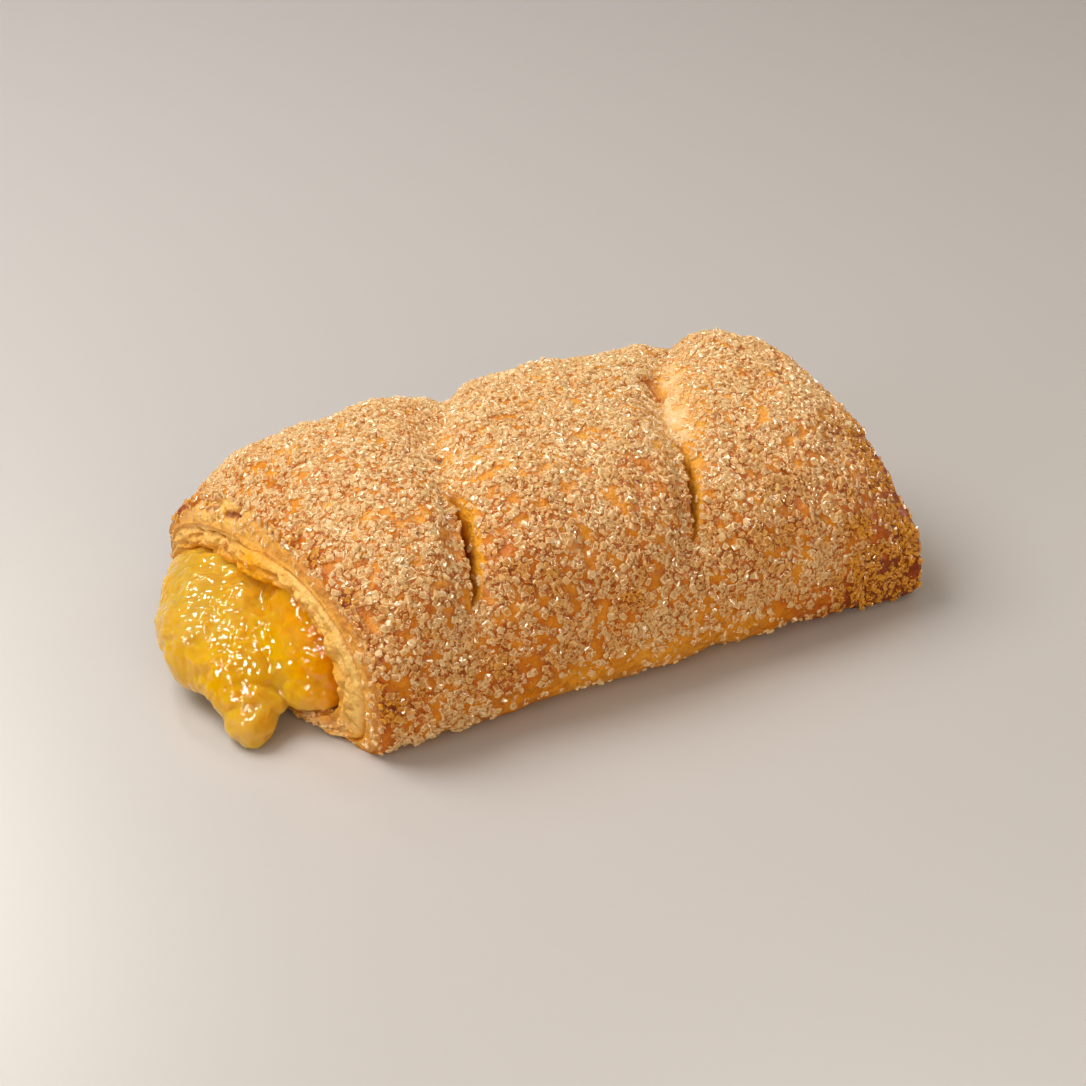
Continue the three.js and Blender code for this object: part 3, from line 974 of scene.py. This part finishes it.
    def lip_recess_at(self, y: float, z: float, across: float, near: bool) -> tuple[float, float]:
        """Depth of a lip's layered face behind its plane.

        Args:
            y, z: Place across the roll and height, in millimetres.
            across: From 0 at the outer edge to 1 at the mouth.
            near: Whether it is the near lip.

        Returns:
            The depth, and how far the point lies in a gap between layers, 0 to 1.
        """
        rough = partial(grain, 0.0, y, z)
        roof = self.roof_at(y, z) if near else 0.0
        level = across + 0.03 * rough(7.0, 41.0) - 0.14 * roof * ease(across, 0.05, 0.2)
        broken = 0.1 + 0.4 * ease(-y, 10.0, 24.0) + 0.3 * rough(5.0, 44.0)
        broken = max(0.0, broken) * (1 - roof) + roof * ease(rough(3.0, 43.0), 0.05, 0.25)
        gap = broken * bell(level, self.gap_place, 0.035)
        return float(np.interp(level, self.lip_steps, self.lip_recess)) + self.gap_depth * gap, gap

    def dress_lip(
        self, x: float, y: float, z: float, across: float, near: bool
    ) -> tuple[float, float, Look]:
        """Shape and finish one point of a lip's face.

        Args:
            x, y, z: The point, in millimetres.
            across: From 0 at the outer edge to 1 at the mouth.
            near: Whether it is the near lip.

        Returns:
            How far it rises, how far it is pushed along the roll, and its finish.
        """
        rough = partial(grain, x, y, z)
        depth, gap = self.lip_recess_at(y, z, across, near)
        inner = ease(across, 0.3, 0.45)
        low = 1 - ease(z, 2.0, 8.0)
        # A lump of stained dough hangs over the jam.
        lump = 0.0
        if near:
            lump = bell(y, self.lump_y, 7.5) * ease(z, 18.0, 22.0) * ease(across, 0.02, 0.3)
            depth -= 2.2 * lump
        out = -1.0 if near else 1.0
        push = -out * depth
        # The inner dough's pockets and layers, ragged near the plate.
        pocket = puffs(x, y, z, 4.4) ** 0.6
        crease = 1 - min(pocket, puffs(x + 3.0, y, z, 2.3) ** 0.5)
        relief = inner * (1.0 * pocket - 0.4 * crease - 0.45)
        relief += 0.4 * inner * math.sin(17.0 * across + 5.0 * rough(5.0, 61.0))
        relief += ease(across, 0.1, 0.3) * (0.6 * rough(2.4, 5.0) + 0.3 * rough(1.1, 9.0))
        crumbly = low * ease(across, 0.1, 0.4)
        relief += 0.9 * crumbly * rough(1.9, 12.0)
        # The jam soaks in beside the mouth.
        wet = ease(across + 0.15 * rough(3.0, 6.0), 0.5, 0.92)
        # Painted shade darkens the gaps between the layers and the creases between the pockets: they take a
        # browner tone and show the skin in place of the cream crumb.
        look = Look(
            bake=min(1.0, 0.42 + 0.2 * rough(6.0, 2.0) + 0.45 * gap - 0.15 * low),
            crumb=(0.4 + 0.6 * ease(across, 0.12, 0.2)) * (1 - 0.6 * low),
            stain=min(1.0, wet * (0.75 if near else 0.5) + lump) * (1 - 0.4 * gap),
            painted_shade_and_darkening=min(1.0, gap + 0.25 * inner * crease),
            sugar=0.12 * (1 - ease(across, 0.02, 0.1)) * (1 - ease(z, 15.0, 18.0)),
            crumbs=0.1 * inner * (1 - wet) + crumbly,
        )
        return relief, push, look

    def build(self) -> bpy.types.Object:
        """Make the crust's mesh with its finish."""
        mesh = woven_skin("crust", self.rings(), cyclic=True)
        row_of = mesh.verts.layers.float["row"]
        layers = {f.name: mesh.verts.layers.float.new(f.name) for f in fields(Look)}
        mesh.normal_update()
        moves = []
        for vert in mesh.verts:
            row = round(vert[row_of]) % len(self.regions)
            region, share = self.regions[row], self.shares[row]
            x, y, z = vert.co
            if region is Region.OUTSIDE:
                height, push, look = self.dress_outside(x, y, z, share)
            elif region is Region.WALL:
                height, push, look = 0.0, 0.0, Look(bake=0.2, crumb=1.0, stain=0.7)
            else:
                height, push, look = self.dress_lip(x, y, z, share, region is Region.NEAR_LIP)
            for name, layer in layers.items():
                vert[layer] = getattr(look, name)
            moves.append(vert.normal * height + Vector((push, 0.0, 0.0)))
        pushed(mesh, moves)
        piece = finished(mesh, "crust")
        piece.data.materials.append(self.finish.material())
        return piece


def worn_cube(wear: float, upper_only: bool) -> bmesh.types.BMesh:
    """A cube with its edges worn down, all of them or only those of its upper face."""
    mesh = bmesh.new()
    bmesh.ops.create_cube(mesh, size=1.0)
    edges = [e for e in mesh.edges if not upper_only or min(vert.co.z for vert in e.verts) > 0]
    bmesh.ops.bevel(
        mesh, geom=edges, offset=wear, offset_type="OFFSET", affect="EDGES",
        segments=1, profile=0.5, material=-1,
    )
    return mesh


def ball(subdivisions: int, radius: float) -> bmesh.types.BMesh:
    """A faceted ball."""
    mesh = bmesh.new()
    bmesh.ops.create_icosphere(mesh, subdivisions=subdivisions, radius=radius)
    return mesh


def column(
    rows: bpy.types.bpy_prop_collection, name: str, width: int = 1, kind: type = float
) -> np.ndarray:
    """Read one property of all rows of a collection.

    Args:
        rows: The collection.
        name: The property.
        width: How many numbers each row has.
        kind: Their type.

    Returns:
        The numbers, with one row each where they have more than one.
    """
    values = np.empty(len(rows) * width, dtype=kind)
    rows.foreach_get(name, values)
    return values.reshape(-1, width) if width > 1 else values


@dataclass
class Sprinkle:
    """Small solid shapes strewn over the crust and joined into one piece."""

    crust: bpy.types.Object
    name: str
    count: int
    spacing: float
    smallest: float
    largest: float
    seed: int
    cover: str = "sugar"
    kinds: int = 8
    jitter: float = 0.1
    lean: float = 0.3
    sink: float = 0.1
    shine: float = 0.5
    round: bool = False
    tries: int = 8

    def template(self) -> bmesh.types.BMesh:
        """The shape, about one millimetre across."""
        raise NotImplementedError

    def templates(self, draw: np.random.Generator) -> list[tuple[np.ndarray, ...]]:
        """A few uneven versions of the shape.

        Args:
            draw: The seeded draws.

        Returns:
            For each its points, its triangles, and how near to its rim each point lies, 0 to 1.
        """
        made = []
        for _ in range(self.kinds):
            mesh = self.template()
            for vert in mesh.verts:
                vert.co += Vector(draw.uniform(-self.jitter, self.jitter, 3))
            mesh.verts.index_update()
            points = np.array([vert.co[:] for vert in mesh.verts])
            faces = []
            for face in mesh.faces:
                corners = [vert.index for vert in face.verts]
                for k in range(1, len(corners) - 1):
                    faces.append((corners[0], corners[k], corners[k + 1]))
            mesh.free()
            # Near its upper rim a sugar grain is painted paler, as a highlight, and a crumb is creamer.
            rim = smoothstep(np.hypot(points[:, 0], points[:, 1]), 0.3, 0.6)
            made.append((points, np.array(faces), rim * smoothstep(points[:, 2], -0.5, 0.1)))
        return made

    def spots(self, draw: np.random.Generator) -> tuple[np.ndarray, np.ndarray, np.ndarray]:
        """Places on the crust, no two closer than the spacing, as dense as the cover says.

        Args:
            draw: The seeded draws.

        Returns:
            The places, the surface's direction at each, and the crust's tone there.
        """
        data = self.crust.data
        data.calc_loop_triangles()
        co = column(data.vertices, "co", 3)
        cover = column(data.attributes[self.cover].data, "value")
        bake = column(data.attributes["bake"].data, "value")
        tri = column(data.loop_triangles, "vertices", 3, np.int64)
        a, b, c = co[tri[:, 0]], co[tri[:, 1]], co[tri[:, 2]]
        normal = np.cross(b - a, c - a)
        area = np.linalg.norm(normal, axis=1) + 1e-18
        normal = normal / area[:, None]
        weight = area * np.clip(cover[tri].mean(axis=1), 0, 1)
        picks = draw.choice(len(tri), size=self.count * self.tries, p=weight / weight.sum())
        r, s = np.sqrt(draw.random(len(picks))), draw.random(len(picks))
        spot = a[picks] * (1 - r)[:, None] + b[picks] * (r * (1 - s))[:, None] + c[picks] * (r * s)[:, None]
        chosen = self.spaced(spot)
        return spot[chosen], normal[picks][chosen], bake[tri[picks, 0]][chosen]

    def spaced(self, spot: np.ndarray) -> list[int]:
        """Choose from places in order, leaving out each that crowds one chosen before."""
        taken: dict[tuple[int, int, int], list[int]] = {}
        kept: list[int] = []
        steps = [(i, j, k) for i in (-1, 0, 1) for j in (-1, 0, 1) for k in (-1, 0, 1)]
        cells = np.floor(spot / self.spacing).astype(int)
        for index, (place, cell) in enumerate(zip(spot.tolist(), cells.tolist())):
            close = (k for i, j, h in steps for k in taken.get((cell[0] + i, cell[1] + j, cell[2] + h), ()))
            if all(math.dist(place, spot[k]) >= self.spacing for k in close):
                taken.setdefault(tuple(cell), []).append(index)
                kept.append(index)
                if len(kept) == self.count:
                    break
        return kept

    def build(self, material: bpy.types.Material) -> bpy.types.Object:
        """Strew the shapes.

        Args:
            material: Their material.

        Returns:
            The piece.
        """
        draw = np.random.default_rng(self.seed)
        templates = self.templates(draw)
        points, faces, shades, tones = [], [], [], []
        start = 0
        for place, up, tone in zip(*self.spots(draw)):
            shape, triangles, rim = templates[draw.integers(len(templates))]
            size = self.smallest + (self.largest - self.smallest) * draw.random() ** 1.6
            stretch = size * np.array([1.0, draw.uniform(0.6, 0.95), draw.uniform(0.45, 0.7)])
            tips = (draw.normal(0, self.lean), draw.normal(0, self.lean))
            turn = Euler((*tips, draw.uniform(0, 2 * math.pi)))
            stand = Vector(up).to_track_quat("Z", "Y").to_matrix() @ turn.to_matrix()
            laid = (shape * stretch) @ np.array(stand).T + place + up * (self.sink * stretch[2])
            laid[:, 2] += max(0.0, -laid[:, 2].min())
            points.append(laid)
            faces.append(triangles + start)
            # For the sugar this sets the painted highlight, pale at the rim and at random over the plain
            # middle; for the crumbs, how cream they are.
            plain = self.shine * draw.random() ** 2
            shades.append(plain + (draw.uniform(0.6, 1.0, len(shape)) - plain) * rim)
            tones.append(np.full(len(shape), tone))
            start += len(shape)
        data = bpy.data.meshes.new(self.name)
        data.from_pydata(np.concatenate(points).tolist(), [], np.concatenate(faces).tolist())
        for key, values in (("rim", shades), ("tone", tones)):
            data.attributes.new(key, "FLOAT", "POINT").data.foreach_set("value", np.concatenate(values))
        data.polygons.foreach_set("use_smooth", [self.round] * len(data.polygons))
        data.materials.append(material)
        LOG.info("%s: %d strewn, %d triangles", self.name, len(points), len(data.polygons))
        return shown(self.name, data)


class SugarBlocks(Sprinkle):
    """The larger crystals: blocks with worn edges, which shine."""

    def template(self) -> bmesh.types.BMesh:
        """A cube with bevelled edges."""
        return worn_cube(0.2, upper_only=False)


class SugarTablets(Sprinkle):
    """The flatter crystals, worn round their upper face."""

    def template(self) -> bmesh.types.BMesh:
        """A cube with its upper edges bevelled."""
        return worn_cube(0.24, upper_only=True)


class SugarBeads(Sprinkle):
    """The small crystals, which have melted round."""

    def template(self) -> bmesh.types.BMesh:
        """A ball of twenty facets."""
        return ball(1, 0.55)


class Crumbs(Sprinkle):
    """Crumbs of torn pastry."""

    def template(self) -> bmesh.types.BMesh:
        """A lump with many facets."""
        return ball(2, 0.5)


@dataclass(frozen=True)
class Lobe:
    """One rounded mass of the spilled jam, in millimetres."""

    centre: tuple[float, float, float]
    half: tuple[float, float, float]


@dataclass(frozen=True)
class Dent:
    """A place where the spill draws back: its direction from the centre, its spread and its depth."""

    towards: tuple[float, float, float]
    spread: float
    depth: float

    def draw_in(self, direction: np.ndarray) -> np.ndarray:
        """How far the spill is drawn in, in millimetres, for unit directions."""
        aim = np.array(self.towards)
        aim = aim / np.linalg.norm(aim)
        angle = np.arccos(np.clip(direction @ aim, -1.0, 1.0))
        return self.depth * np.exp(-((angle / self.spread) ** 2))


@dataclass
class Filling:
    """The pineapple jam: a core between the mouths, and the spill in front of the near one."""

    roll: Roll
    finish: JamFinish = JamFinish()
    counts: tuple[int, int, int, int] = (80, 84, 60, 56)
    core_rings: int = 12
    spill_rings: int = 130
    recess: float = 3.0
    sharpness: float = 16.0
    centre: tuple[float, float, float] = (-65.0, 2.0, 10.0)
    end_rings: int = 44
    end_bulge: float = 3.4
    lobes: tuple[Lobe, ...] = (
        Lobe((-69, 4, 10.5), (17, 22, 9.8)),
        Lobe((-78, 1, 9.5), (10.2, 12.5, 8)),
        Lobe((-72, -9, 9.5), (13, 13, 9)),
        Lobe((-70, 18, 9.5), (9, 13, 7.5)),
        Lobe((-77.5, -4, 7), (9.2, 9.5, 6)),
        Lobe((-76.5, -13.5, 7), (8, 9, 6.6)),
        Lobe((-77.6, -18, 5.2), (6.2, 7.2, 5.2)),
        Lobe((-79.8, -22.5, 3.4), (4.8, 5.9, 4.4)),
        Lobe((-67.0, -17.5, 6.2), (6, 9, 5.4)),
    )
    dents: tuple[Dent, ...] = (
        Dent((-3.0, -20.0, 9.0), 0.5, 5.0),
        Dent((-5.0, 3.0, 10.0), 0.5, 1.6),
    )

    def reach(self, direction: np.ndarray) -> np.ndarray:
        """How far the spill goes from its centre.

        Args:
            direction: Unit directions, one row each.

        Returns:
            The distances: the lobes, smoothly joined.
        """
        total = np.zeros(len(direction))
        for lobe in self.lobes:
            half = np.array(lobe.half)
            start = (np.array(self.centre) - np.array(lobe.centre)) / half
            step = direction / half
            a = (step**2).sum(axis=1)
            b = step @ start
            c = (start**2).sum() - 1
            root = b**2 - a * c
            far = np.where(root > 0, (np.sqrt(np.maximum(root, 0)) - b) / a, 0.0)
            total += np.maximum(far, 0.0) ** self.sharpness
        return total ** (1 / self.sharpness) - sum(dent.draw_in(direction) for dent in self.dents)

    def spill_ring(self, lift: float) -> np.ndarray:
        """A ring of the spill, from the mouth's rim at lift 0 to the tip at lift 1."""
        rim = self.roll.core_ring(0.0, self.counts)
        centre = np.array(self.centre)
        across = rim[:, 1:] - centre[1:]
        radius = np.hypot(across[:, 0], across[:, 1])
        swing = lift * math.pi / 2
        flat = across / radius[:, None] * math.cos(swing)
        direction = np.column_stack([np.full(len(rim), -math.sin(swing)), flat])
        blend = ease(lift, 0.0, 0.3)
        reach = radius * (1 - blend) + self.reach(direction) * blend
        ring = centre + direction * reach[:, None]
        ring[:, 2] = np.maximum(0.0, ring[:, 2])
        return ring

    def rings(self) -> list[np.ndarray]:
        """All rings from the spill's tip to the far end of the core."""
        rows = [self.spill_ring(i / self.spill_rings) for i in range(self.spill_rings - 1, 0, -1)]
        for i in range(self.core_rings + 1):
            share = i / self.core_rings
            ring = self.roll.core_ring(share, self.counts)
            stop = self.roll.far_lip(ring[:, 1]) - self.recess
            ring[:, 0] = self.centre[0] * (1 - share) + stop * share
            rows.append(ring)
        end = rows[-1]
        for k in range(1, self.end_rings):
            scale = 1 - k / self.end_rings
            ring = end.mean(0) + (end - end.mean(0)) * scale
            ring[:, 0] += self.end_bulge * math.sqrt(1 - scale**4)
            rows.append(ring)
        return rows

    def pulp_at(self, x: float, y: float, z: float) -> tuple[float, float, float]:
        """Lumps of fruit in the jelly at a point, with painted light and shade.

        Args:
            x, y, z: The point, in millimetres.

        Returns:
            How far the surface rises, in millimetres; how much pale fruit shows, with pale painted light
            where the jam hangs low at the front; and how much darker jelly shows, painted as shade under
            the roof and inside the roll; each share 0 to 1.
        """
        rough = partial(grain, x, y, z)
        lump = ease(rough(7.5, 2.0), -0.5, 0.5)
        rise = 0.7 * lump - 0.35 + 0.55 * rough(4.5, 1.0)
        rise += 0.36 * rough(2.6, 3.0) + 0.32 * rough(1.5, 5.0)
        share = 0.1 + 0.2 * lump + 0.5 * rough(6.0, 14.0) + 0.6 * ease(y, -14.0, 6.0)
        # Pale painted light where the jam hangs low at the front, for light that shines through it.
        share += 0.8 * ease(-z, -9.0, -4.0) * ease(-y, 14.0, 22.0)
        # Darker jelly inside the mouth and the roll, painted as shade under the pastry, with a little at
        # random outside it.
        deep_and_painted_shade = ease(x, -73.0, -63.0) * (1 - ease(x, 56.0, 60.5))
        deep_and_painted_shade += 0.4 * rough(5.0, 16.0) * ease(x, -80.0, -70.0)
        return rise, clamped(share), clamped(deep_and_painted_shade)

    def build(self) -> bpy.types.Object:
        """Make the jam's mesh with its finish."""
        mesh = woven_skin("filling", self.rings(), cyclic=False)
        pulp_and_painted_light, depth = (mesh.verts.layers.float.new(name) for name in ("pulp_and_painted_light", "depth"))
        mesh.normal_update()
        moves = []
        for vert in mesh.verts:
            x, y, z = vert.co
            rise, share, deep_and_painted_shade = self.pulp_at(x, y, z)
            free = max(1.0 - ease(x, -66.0, -63.0), ease(x, 57.5, 59.5))
            vert[pulp_and_painted_light], vert[depth] = share, deep_and_painted_shade
            moves.append(vert.normal * rise * free)
        pushed(mesh, moves)
        piece = finished(mesh, "filling_jam")
        piece.data.materials.append(self.finish.material())
        return piece


class Task(Enum):
    """What a lamp is there for: light that isn't mirrored, or glints on wet and glassy things."""

    LIGHT = 0
    GLINT = 1


@dataclass(frozen=True)
class Lamp:
    """A square lamp that points at the pastry."""

    name: str
    task: Task
    place: tuple[float, float, float]
    size: float
    power: float
    colour: tuple[float, float, float] = (1.0, 0.98, 0.95)


@dataclass
class Studio:
    """The plain floor, the soft lights and the camera."""

    finish: FloorFinish = FloorFinish()
    floor_half: float = 3.0
    camera_place: tuple[float, float, float] = (-208.63, -380.88, 260.25)
    camera_aim: tuple[float, float, float] = (3.904, 16.639, 0.0)
    lens: float = 79.56
    glow: float = 0.3
    glint_colour: tuple[float, float, float] = (1.0, 0.98, 0.88)
    lamps: tuple[Lamp, ...] = (
        Lamp("top_softbox", Task.LIGHT, (-0.4, 0.42, 0.8), 0.6, 10.0),
        Lamp("left_fill", Task.LIGHT, (-1.0, -0.4, 0.5), 0.6, 2.8),
        Lamp("front_fill", Task.LIGHT, (-0.1, -1.1, 0.5), 0.8, 4.8, (1.0, 0.77, 0.48)),
        Lamp("glint_left", Task.GLINT, (-0.85, -0.25, 0.8), 0.2, 7.0),
        Lamp("glint_top", Task.GLINT, (-0.3, -0.2, 1.1), 0.2, 7.0),
        Lamp("glint_back", Task.GLINT, (-0.45, 0.5, 0.85), 0.2, 5.0),
        Lamp("glint_front", Task.GLINT, (-0.75, -0.8, 0.7), 0.16, 5.0),
        Lamp("glint_right", Task.GLINT, (0.4, 0.3, 1.0), 0.2, 5.0),
        Lamp("glint_far", Task.GLINT, (0.0, 0.9, 0.75), 0.18, 3.5),
        Lamp("glint_end", Task.GLINT, (1.0, -0.35, 0.45), 0.2, 5.0),
        Lamp("glint_high", Task.GLINT, (0.9, 0.2, 0.9), 0.2, 5.0),
        Lamp("end_fill", Task.LIGHT, (1.1, 0.35, 0.45), 0.6, 1.8, (1.0, 0.84, 0.56)),
    )

    def floor(self) -> bpy.types.Object:
        """Lay the floor."""
        mesh = bmesh.new()
        bmesh.ops.create_grid(mesh, x_segments=1, y_segments=1, size=self.floor_half)
        data = bpy.data.meshes.new("floor")
        mesh.to_mesh(data)
        mesh.free()
        data.materials.append(self.finish.material())
        return shown("floor", data)

    def hang(self, lamp: Lamp) -> None:
        """Hang one lamp, turned to the middle of the pastry."""
        light = bpy.data.lights.new(lamp.name, "AREA")
        light.shape = "SQUARE"
        light.size = lamp.size
        light.energy = lamp.power
        light.color = self.glint_colour if lamp.task is Task.GLINT else lamp.colour
        hung = bpy.data.objects.new(lamp.name, light)
        hung.visible_glossy = lamp.task is Task.GLINT
        hung.visible_diffuse = lamp.task is Task.LIGHT
        hung.location = lamp.place
        aim = Vector((0.0, 0.0, 0.02)) - Vector(lamp.place)
        hung.rotation_euler = aim.to_track_quat("-Z", "Y").to_euler()
        bpy.context.scene.collection.objects.link(hung)

    def sky(self) -> None:
        """Set the soft glow from all round."""
        world = bpy.data.worlds.new("soft_room")
        bpy.context.scene.world = world
        world.use_nodes = True
        world.node_tree.nodes["Background"].inputs["Color"].default_value = (1.0, 0.93, 0.85, 1.0)
        world.node_tree.nodes["Background"].inputs["Strength"].default_value = self.glow
        world.cycles_visibility.glossy = False

    def camera(self) -> None:
        """Set up the camera at the photographed angle."""
        data = bpy.data.cameras.new("camera")
        data.lens = self.lens
        data.sensor_width = 36.0
        data.clip_start = 0.01
        camera = bpy.data.objects.new("camera", data)
        place = (Vector(self.camera_place) - Vector(BOX_MIDDLE)) * MM
        aim = (Vector(self.camera_aim) - Vector(BOX_MIDDLE)) * MM
        camera.location = place
        camera.rotation_euler = (aim - place).to_track_quat("-Z", "Y").to_euler()
        bpy.context.scene.collection.objects.link(camera)
        bpy.context.scene.camera = camera

    def build(self) -> None:
        """Set up all of it."""
        self.floor()
        for lamp in self.lamps:
            self.hang(lamp)
        self.sky()
        self.camera()
        bpy.context.scene.view_settings.view_transform = "Standard"


def main() -> None:
    """Build the turnover's pieces in order and the studio round them."""
    logging.basicConfig(level=logging.INFO, format="%(message)s")
    Studio().build()
    roll = Roll()
    crust = Crust(roll).build()
    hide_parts("pastry")
    filling = Filling(roll).build()
    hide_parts("filling")
    sweet = SugarFinish().material()
    dough = CrumbFinish().material()
    strewn = [
        SugarBlocks(crust, "sugar_blocks", 4500, 0.0012, 0.0009, 0.0017, 4711).build(sweet),
        SugarTablets(crust, "sugar_tablets", 9900, 0.0008, 0.0008, 0.0015, 4712).build(sweet),
        SugarBeads(crust, "sugar_beads", 9900, 0.0006, 0.0005, 0.0010, 4713, round=True).build(sweet),
        Crumbs(crust, "crumbs", 700, 0.0006, 0.0005, 0.0016, 4714, cover="crumbs").build(dough),
    ]
    for piece in (crust, filling, *strewn):
        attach(piece, "root")
        LOG.info("%s: %d faces", piece.name, len(piece.data.polygons))


if __name__ == "__main__":
    main()
